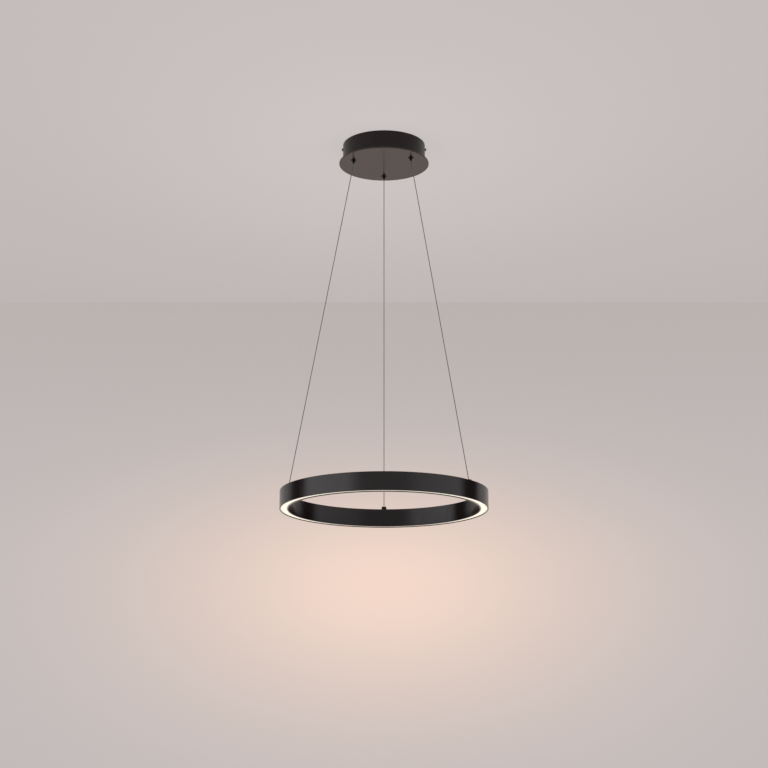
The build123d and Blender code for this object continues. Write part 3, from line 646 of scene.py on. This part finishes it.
# Hexagon nut standing on its seat, its corners chamfered above and below by two cones that reach past it
def makeNutTree(name, outwards):
    tree, given = newShapeTree(name, {"Corner": "Float", "Bore": "Float", "Height": "Float"})
    half = calc(tree, "MULTIPLY", given["Height"], 0.5)
    shaped = addCylinder(tree, nut["corners"], given["Corner"], given["Height"], half)
    face = calc(tree, "MULTIPLY", given["Corner"], nut["chamfer"] * math.cos(math.pi / nut["corners"]))
    past = calc(tree, "MULTIPLY", given["Height"], nut["conePast"])
    slope = 1 / math.tan(math.radians(nut["chamferAngle"]))
    narrow = calc(tree, "MULTIPLY_ADD", past, -slope, face)
    wide = calc(tree, "MULTIPLY_ADD", calc(tree, "ADD", given["Height"], past), slope, face)
    for top, bottom in ((narrow, wide), (wide, narrow)):
        cone = addNode(tree, "GeometryNodeMeshCone", {
            "Vertices": nut["around"], "Radius Top": top, "Radius Bottom": bottom,
            "Depth": calc(tree, "MULTIPLY_ADD", past, 2.0, given["Height"])})
        lowered = liftMesh(tree, cone.outputs["Mesh"], calc(tree, "MULTIPLY", past, -1.0))
        shaped = cutMesh(tree, "INTERSECT", shaped, lowered)
    drillDepth = calc(tree, "MULTIPLY", given["Height"], nut["drillLength"])
    drill = addCylinder(tree, nut["around"], given["Bore"], drillDepth, half)
    setOnPoints(tree, given, cutMesh(tree, "DIFFERENCE", shaped, drill), outwards)
    return tree


# Grub screw with a driver slot in its top
def makeSlotScrewTree():
    tree, given = newShapeTree("slottedScrew", {
        "Radius": "Float", "Height": "Float", "Slot Width": "Float", "Slot Depth": "Float"})
    half = calc(tree, "MULTIPLY", given["Height"], 0.5)
    post = addCylinder(tree, slotScrew["around"], given["Radius"], given["Height"], half)
    length = calc(tree, "MULTIPLY", given["Radius"], slotScrew["slotLength"])
    deep = calc(tree, "MULTIPLY", given["Slot Depth"], 2.0)
    slot = addBlock(tree, given["Slot Width"], length, deep, given["Height"])
    setOnPoints(tree, given, cutMesh(tree, "DIFFERENCE", post, slot))
    return tree


# Domed screw with a cross recess: its head bears at height zero and its shank points down
def makeDomeScrewTree():
    tree, given = newShapeTree("domedScrew", {
        "Head": "Float", "Dome": "Float", "Shank": "Float", "Length": "Float", "Recess": "Float",
        "Depth": "Float"})
    squares = [calc(tree, "POWER", given[label], 2.0) for label in ("Head", "Dome")]
    crown = calc(tree, "DIVIDE", calc(tree, "ADD", *squares), calc(tree, "MULTIPLY", given["Dome"], 2.0))
    ball = addNode(tree, "GeometryNodeMeshUVSphere", {
        "Segments": domeScrew["around"], "Rings": domeScrew["around"], "Radius": crown})
    ball = liftMesh(tree, ball.outputs["Mesh"], calc(tree, "SUBTRACT", given["Dome"], crown))
    wide = calc(tree, "MULTIPLY", given["Head"], 2.0)
    keep = addCylinder(tree, domeScrew["around"], wide, wide, given["Head"])
    head = cutMesh(tree, "INTERSECT", ball, keep)
    sunk = domeScrew["shankSunk"]
    shankDepth = calc(tree, "MULTIPLY", given["Length"], 1 + sunk)
    shankLift = calc(tree, "MULTIPLY", given["Length"], (sunk - 1) / 2)
    shank = addCylinder(tree, domeScrew["around"], given["Shank"], shankDepth, shankLift)
    screw = cutMesh(tree, "UNION", head, shank)
    long = calc(tree, "MULTIPLY", given["Recess"], domeScrew["armLength"])
    deep = calc(tree, "MULTIPLY", given["Depth"], 2.0)
    arms = [addBlock(tree, *sides, deep, given["Dome"])
            for sides in ((given["Recess"], long), (long, given["Recess"]))]
    setOnPoints(tree, given, cutMesh(tree, "DIFFERENCE", screw, *arms), outwards="Z")
    return tree


def makeNuts():
    for name, node, outwards in (("studNuts", "stud_nuts", None), ("gripperNuts", "gripper_nuts", "X")):
        tree = makeNutTree(name, outwards)
        boxes = solidBoxes(node)
        low, high = boxes[0]
        distances = reaches(node, middleOf(boxes[0]).xy)
        corner = max(distance for distance in distances if distance < high.x - low.x)
        sizes = {"Corner": corner, "Bore": min(distances), "Height": high.z - low.z}
        host = pointHost(name + "_seats", [(*middleOf(box).xy, box[0].z) for box in boxes])
        standFor(bakeShape(name, host, tree, sizes, finishes["zinc_steel"]), "canopy", "zinc_steel", node)


def makeTerminalScrews():
    boxes = solidBoxes("terminal_screws")
    low, high = boxes[0]
    sizes = {"Radius": (high.x - low.x) / 2, "Height": high.z - low.z,
             "Slot Width": slotScrew["slotWidth"], "Slot Depth": slotScrew["slotDepth"]}
    host = pointHost("screwSeats", [(*middleOf(box).xy, box[0].z) for box in boxes])
    slotted = bakeShape("terminalScrews", host, makeSlotScrewTree(), sizes, finishes["zinc_steel"])
    standFor(slotted, "canopy", "zinc_steel", "terminal_screws")


# The head bears on the cup's wall, so the CAD screw's vertices well within the wall are its shank's
def makeSideScrews():
    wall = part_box("canopy_cup")[1].x
    low, high = solidBoxes("side_screws")[1]
    height = middleOf((low, high)).z
    corners = [vertex.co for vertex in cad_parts["side_screws"].data.vertices]
    shankTop = max(corner.z for corner in corners if 0 < corner.x < wall - domeScrew["headMargin"])
    sizes = {"Head": (high.z - low.z) / 2, "Dome": high.x - wall, "Shank": shankTop - height,
             "Length": wall - low.x, "Recess": domeScrew["recess"], "Depth": domeScrew["recessDepth"]}
    host = pointHost("wallSeats", [(sign * wall, 0, height) for sign in (-1, 1)])
    screws = bakeShape("sideScrews", host, makeDomeScrewTree(), sizes, finishes["dark_screw"])
    standFor(screws, "canopy", "dark_screw", "side_screws")


makeNuts()
makeTerminalScrews()
makeSideScrews()
print("fasteners set")


# Turned pieces: one tree carries an outline round the light's axis, another drills the holes in it

turning = {"around": 288, "arcSteps": 4, "flat": 0.0002, "drillAround": 64}
ring = {"wall": 0.0022, "roof": 0.0025, "edge": 0.0006, "chamber": 0.009, "ledgeDepth": 0.0015,
        "ledgeThickness": 0.0015, "beadDepth": 0.0006, "beadHeight": 0.001}
strip = {"thickness": 0.002, "snap": 0.0001, "leg": 0.0012}
plate = {"edge": 0.0006}


def makeTurnTree():
    tree, given = newShapeTree("turnedPiece", {"Middle": "Float", "Around": "Int"})
    path = addNode(tree, "GeometryNodeCurvePrimitiveCircle", {
        "Resolution": given["Around"], "Radius": given["Middle"]})
    swept = addNode(tree, "GeometryNodeCurveToMesh", {
        "Curve": path.outputs["Curve"], "Profile Curve": given["Geometry"]})
    closed = addNode(tree, "GeometryNodeMergeByDistance", {
        "Geometry": swept.outputs[0], "Distance": meshing["weld"]})
    endShapeTree(tree, given, closed.outputs[0])
    return tree


def makeDrillTree():
    tree, given = newShapeTree("drilledPiece", {
        "Blank": "Object", "Hole": "Float", "Depth": "Float", "Around": "Int"})
    blank = addNode(tree, "GeometryNodeObjectInfo", {"Object": given["Blank"]})
    drill = addCylinder(tree, given["Around"], given["Hole"], given["Depth"])
    drills = addNode(tree, "GeometryNodeInstanceOnPoints", {"Points": given["Geometry"], "Instance": drill})
    drills = addNode(tree, "GeometryNodeRealizeInstances", {"Geometry": drills.outputs[0]})
    endShapeTree(tree, given, cutMesh(tree, "DIFFERENCE", blank.outputs["Geometry"], drills.outputs[0]))
    return tree


# Corners are (radius, height, rounding); a round one becomes an arc with a short flat on each side of it
def roundOutline(corners):
    points = []
    for index, (radius, height, rounding) in enumerate(corners):
        corner = Vector((radius, height))
        if not rounding:
            points.append(corner)
            continue
        before, after = corners[index - 1], corners[(index + 1) % len(corners)]
        back, onward = [(Vector(beside[:2]) - corner).normalized() for beside in (before, after)]
        centre = corner + (back + onward) * rounding
        points.append(corner + back * (rounding + turning["flat"]))
        for step in range(turning["arcSteps"] + 1):
            angle = math.pi / 2 * step / turning["arcSteps"]
            points.append(centre - (onward * math.cos(angle) + back * math.sin(angle)) * rounding)
        points.append(corner + onward * (rounding + turning["flat"]))
    return points


# The outline's points become a poly curve, seen from the path that it is carried along
def turnPiece(name, tree, corners, closed, material):
    points = roundOutline(corners)[::-1]
    middle = max(point.x for point in points) / 2
    data = bpy.data.curves.new(name + "_outline", "CURVE")
    data.dimensions = "3D"
    spline = data.splines.new("POLY")
    spline.points.add(len(points) - 1)
    for target, point in zip(spline.points, points):
        target.co = (point.x - middle, -point.y, 0.0, 1.0)
    spline.use_cyclic_u = closed
    sizes = {"Middle": middle, "Around": turning["around"]}
    return bakeShape(name, linkObject(name + "_outline", data), tree, sizes, material)


# One hole for each hanger's fitting, as wide as the node's own, through a wall under the node's top
def drillPiece(name, tree, blank, node, fitting, wall):
    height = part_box(node)[1].z - wall / 2
    middles = [middleOf(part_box(f"{fitting}_{side}")).xy for side in hangers]
    sizes = {"Blank": blank, "Hole": min(reaches(node, middles[0])), "Depth": 2 * wall,
             "Around": turning["drillAround"]}
    host = pointHost(name + "_holes", [(*middle, height) for middle in middles])
    drilled = bakeShape(name, host, tree, sizes, blank.data.materials[0])
    bpy.data.objects.remove(blank)
    print("turned and drilled", name, "faces", len(drilled.data.polygons))
    return drilled


# A wall of the channel from its lip to the roof, past the bead that holds the strip and the board's ledge
def channelWall(wall, inwards, lip, bead, ledge, roof):
    corners = [(wall, lip, 0)]
    steps = ((ring["beadDepth"], bead, bead + ring["beadHeight"]),
             (ring["ledgeDepth"], ledge, ledge + ring["ledgeThickness"]))
    for depth, under, top in steps:
        end = wall + inwards * depth
        corners += [(wall, under, 0), (end, under, 0), (end, top, 0), (wall, top, 0)]
    return corners + [(wall, roof, 0)]


def ringCorners():
    low, high = [corner.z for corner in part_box("ring_profile")]
    inner, outer = [pick(reaches("ring_profile")) for pick in (min, max)]
    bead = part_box("diffuser")[0].z + strip["thickness"] + strip["snap"]
    roof = high - ring["roof"]
    heights = (low, bead, roof - ring["chamber"] - ring["ledgeThickness"], roof)
    outside = [(outer, low), (outer, high), (inner, high), (inner, low)]
    innerWall = channelWall(inner + ring["wall"], 1, *heights)
    outerWall = channelWall(outer - ring["wall"], -1, *heights)
    return [(*corner, ring["edge"]) for corner in outside] + innerWall + outerWall[::-1]


# Half of the strip: the floor's edge, and the hooked leg that snaps over the channel's bead
def stripSide(pick, inwards):
    low, high = [corner.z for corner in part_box("diffuser")]
    top = low + strip["thickness"]
    hook = top + ring["beadHeight"] + 2 * strip["snap"]
    edge = pick(reaches("diffuser"))
    leg = pick(reaches("ring_profile")) + inwards * (ring["wall"] + ring["beadDepth"] + strip["snap"])
    back = leg + inwards * strip["leg"]
    corners = [(edge, low), (edge, top), (leg, top), (leg, hook), (edge, hook)]
    corners += [(leg, high), (back, high), (back, top)]
    return [(*corner, 0) for corner in corners]


def plateCorners():
    low, high = [corner.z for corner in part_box("canopy_plate")]
    rim = max(reaches("canopy_plate"))
    return [(0, low, 0), (rim, low, plate["edge"]), (rim, high, plate["edge"]), (0, high, 0)]


# The faces nearest to the ring's middle wear the ring's paint with weaker reflection: painted shade on the
# inner wall
def shadeInnerWall(hoop):
    hoop.data.materials.append(innerShadeFinish)
    reach = min(reaches("ring_profile")) + ring["edge"] / 2
    for face in hoop.data.polygons:
        if face.center.xy.length < reach:
            face.material_index = 1


def makeTurnedPieces():
    turnTree, drillTree = makeTurnTree(), makeDrillTree()
    corners = stripSide(max, -1) + stripSide(min, 1)[::-1]
    opalStrip = turnPiece("opalStrip", turnTree, corners, True, finishes["opal_diffuser"])
    standFor(opalStrip, "ring", "opal_diffuser", "diffuser")
    hoop = turnPiece("ringBlank", turnTree, ringCorners(), True, finishes["black_aluminium"])
    hoop = drillPiece("ringHoop", drillTree, hoop, "ring_profile", "ring_cap", ring["roof"])
    shadeInnerWall(hoop)
    standFor(hoop, "ring", "black_aluminium", "ring_profile")
    low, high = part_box("canopy_plate")
    disc = turnPiece("discBlank", turnTree, plateCorners(), False, plateFinish)
    disc = drillPiece("canopyDisc", drillTree, disc, "canopy_plate", "gripper_body", high.z - low.z)
    standFor(disc, "canopy", "black_steel", "canopy_plate")


makeTurnedPieces()


# Stage: ceiling, backdrop and floor that fade into a pale world, each with the lamp's own soft glow painted
# on it

stage = {"pale": (0.53, 0.505, 0.505), "soft": (1.0, 0.965, 0.945), "softLevel": 0.8, "ownShare": 0.8,
         "reach": 2.4, "around": 96}
ceiling = {"lap": 0.0009, "middle": (0, 0, 0.0005), "spread": (0.56, 0.7, 1.0), "fade": (1.5, 2.1),
           "base": (0.539, 0.503, 0.497), "peak": (0.656, 0.612, 0.604)}
# Backdrop: its peak is painted light of the lamp, and its top colour is painted shade under the ceiling
backdrop = {"middle": (0, 1.07, -0.74), "spread": (0.54, 1.0, 0.30), "fade": (1.25, 1.75),
            "base": (0.487, 0.486, 0.503), "peak": (0.955, 0.738, 0.628), "top": (0.535, 0.496, 0.484),
            "topShadeDepth": 0.7}
floor = {"middle": (0, 0, -2.4), "spread": (0.9, 0.9, 1.0), "fade": (1.2, 2.2),
         "base": (0.53, 0.505, 0.495), "peak": (0.66, 0.62, 0.59)}
# What glossy surfaces mirror, by compass angle from the viewer's side: two soft boxes and two dark gaps
studio = {"level": 1.5, "plainSpan": (0.5, 0.85), "bands": (
    (-180, 0.35), (-127, 0.35), (-119, 0.02), (-99, 0.02), (-91, 0.95), (-40, 0.95), (-26, 0.31), (24, 0.32),
    (32, 0.48), (45, 0.55), (60, 0.6), (90, 0.6), (99, 0.02), (120, 0.02), (128, 0.35), (180, 0.35))}
lamps = {"left": {"place": (-1.9, -1.8, -0.6), "size": (1.6, 1.2), "watts": 12.0},
         "right": {"place": (2.0, -1.7, -0.8), "size": (1.4, 1.2), "watts": 7.0}}


def flatSheet(name, corners, faces):
    mesh = bpy.data.meshes.new(name)
    mesh.from_pydata(corners, [], faces)
    sheet = linkObject(name, mesh)
    return sheet


def roundSheet(name, hole, height, faceDown):
    around = stage["around"]
    corners = []
    for radius in (hole, stage["reach"]):
        for step in range(around):
            angle = 2 * math.pi * step / around
            corners.append((radius * math.cos(angle), radius * math.sin(angle), height))
    faces = []
    for step in range(around):
        beside = (step + 1) % around
        quad = (step, around + step, around + beside, beside)
        faces.append(quad[::-1] if faceDown else quad)
    return flatSheet(name, corners, faces)


# Painted light of the lamp on a sheet: strongest at the middle and falling off without an edge
def glowPaint(tree, place, sheet):
    offset = calcVector(tree, "SUBTRACT", place, sheet["middle"])[0]
    share = calcVector(tree, "DIVIDE", offset, sheet["spread"])[0]
    square = calcVector(tree, "DOT_PRODUCT", share, share)["Value"]
    glow = calc(tree, "DIVIDE", 1.0, calc(tree, "ADD", square, 1.0))
    lit = mixColour(tree, glow, sheet["base"], sheet["peak"])
    if "top" not in sheet:
        return lit
    # The backdrop is painted darker towards its top: painted shade under the ceiling
    height = addNode(tree, "ShaderNodeSeparateXYZ", {"Vector": place}).outputs["Z"]
    shade = mapRange(tree, height, (-sheet["topShadeDepth"], 0.0), bend="SMOOTHSTEP")
    return mixColour(tree, shade, lit, sheet["top"])


# Pale matt paint: it fades out with distance from the sheet's middle and is open from behind
def sheetFinish(name, sheet):
    material = bpy.data.materials.new(name)
    material.use_nodes = True
    tree = material.node_tree
    tree.nodes.clear()
    place = addNode(tree, "ShaderNodeTexCoord").outputs["Object"]
    colour = glowPaint(tree, place, sheet)
    reach = calcVector(tree, "DISTANCE", place, sheet["middle"])["Value"]
    gone = mapRange(tree, reach, sheet["fade"], bend="SMOOTHSTEP")
    back = addNode(tree, "ShaderNodeNewGeometry").outputs["Backfacing"]
    hidden = calc(tree, "MAXIMUM", gone, back)
    light = addNode(tree, "ShaderNodeLightPath").outputs
    seen = calc(tree, "MAXIMUM", light["Is Camera Ray"], light["Is Transmission Ray"])
    seen = calc(tree, "MAXIMUM", seen, light["Is Glossy Ray"])
    matt = addNode(tree, "ShaderNodeBsdfDiffuse", {"Color": colour})
    own = addNode(tree, "ShaderNodeEmission", {"Color": colour})
    shown = addNode(tree, "ShaderNodeMixShader", {
        0: calc(tree, "MULTIPLY", seen, stage["ownShare"]), 1: matt.outputs[0], 2: own.outputs[0]})
    clear = addNode(tree, "ShaderNodeBsdfTransparent")
    mixed = addNode(tree, "ShaderNodeMixShader", {0: hidden, 1: shown.outputs[0], 2: clear.outputs[0]})
    addNode(tree, "ShaderNodeOutputMaterial", {"Surface": mixed.outputs[0]})
    return material


def makeStage():
    hole = max(reaches("canopy_cup")) - ceiling["lap"]
    ceilingSheet = roundSheet("ceilingSheet", hole, ceiling["middle"][2], True)
    ceilingSheet.data.materials.append(sheetFinish("ceilingMatt", ceiling))
    floorSheet = roundSheet("floorSheet", 0.0, floor["middle"][2], False)
    floorSheet.data.materials.append(sheetFinish("floorMatt", floor))
    half, wall = stage["reach"], backdrop["middle"][1]
    corners = [(x, wall, z) for x, z in ((-half, 0), (half, 0), (half, -2 * half), (-half, -2 * half))]
    backdropSheet = flatSheet("backdropSheet", corners, [(3, 2, 1, 0)])
    backdropSheet.data.materials.append(sheetFinish("backdropMatt", backdrop))


# Pale to the eye, soft and even to matt surfaces, banded to glossy ones
def makeWorld():
    world = bpy.data.worlds.new("paleStudio")
    bpy.context.scene.world = world
    world.use_nodes = True
    tree = world.node_tree
    tree.nodes.clear()
    place = addNode(tree, "ShaderNodeTexCoord").outputs["Generated"]
    axis = addNode(tree, "ShaderNodeSeparateXYZ", {"Vector": place}).outputs
    compass = calc(tree, "ARCTAN2", axis["X"], calc(tree, "MULTIPLY", axis["Y"], -1.0))
    share = calc(tree, "MULTIPLY_ADD", compass, 0.5 / math.pi, 0.5)
    ramp = addNode(tree, "ShaderNodeValToRGB", {"Fac": share})
    stops = ramp.color_ramp.elements
    while len(stops) < len(studio["bands"]):
        stops.new(0.5)
    for stop, (angle, level) in zip(stops, studio["bands"]):
        stop.position = (angle + 180) / 360
        stop.color = (level, level, level, 1.0)
    # Straight up and down, where the compass has no direction, the bands give way to one plain level
    steep = mapRange(tree, calc(tree, "ABSOLUTE", axis["Z"]), studio["plainSpan"])
    plain = studio["bands"][0][1]
    mirrored = mixColour(tree, steep, ramp.outputs["Color"], (plain, plain, plain))
    light = addNode(tree, "ShaderNodeLightPath").outputs
    seen = calc(tree, "MAXIMUM", light["Is Camera Ray"], light["Is Transmission Ray"])
    pale = addNode(tree, "ShaderNodeBackground", {"Color": (*stage["pale"], 1.0), "Strength": 1.0})
    soft = addNode(tree, "ShaderNodeBackground", {
        "Color": (*stage["soft"], 1.0), "Strength": stage["softLevel"]})
    bands = addNode(tree, "ShaderNodeBackground", {"Color": mirrored, "Strength": studio["level"]})
    first = addNode(tree, "ShaderNodeMixShader", {0: seen, 1: soft.outputs[0], 2: pale.outputs[0]})
    mixed = addNode(tree, "ShaderNodeMixShader", {
        0: light["Is Glossy Ray"], 1: first.outputs[0], 2: bands.outputs[0]})
    addNode(tree, "ShaderNodeOutputWorld", {"Surface": mixed.outputs[0]})


def makeLamps():
    target = (cadLow + cadHigh) / 2
    for name, lamp in lamps.items():
        data = bpy.data.lights.new(f"softBox_{name}", "AREA")
        data.shape = "RECTANGLE"
        data.size, data.size_y = lamp["size"]
        data.energy = lamp["watts"]
        softBox = linkObject(f"softBox_{name}", data)
        softBox.location = lamp["place"]
        softBox.rotation_euler = (target - softBox.location).to_track_quat("-Z", "Y").to_euler()
        softBox.visible_camera = False
        softBox.visible_glossy = False


makeStage()
makeWorld()
makeLamps()
bpy.context.scene.view_settings.view_transform = "Standard"
print("stage set")
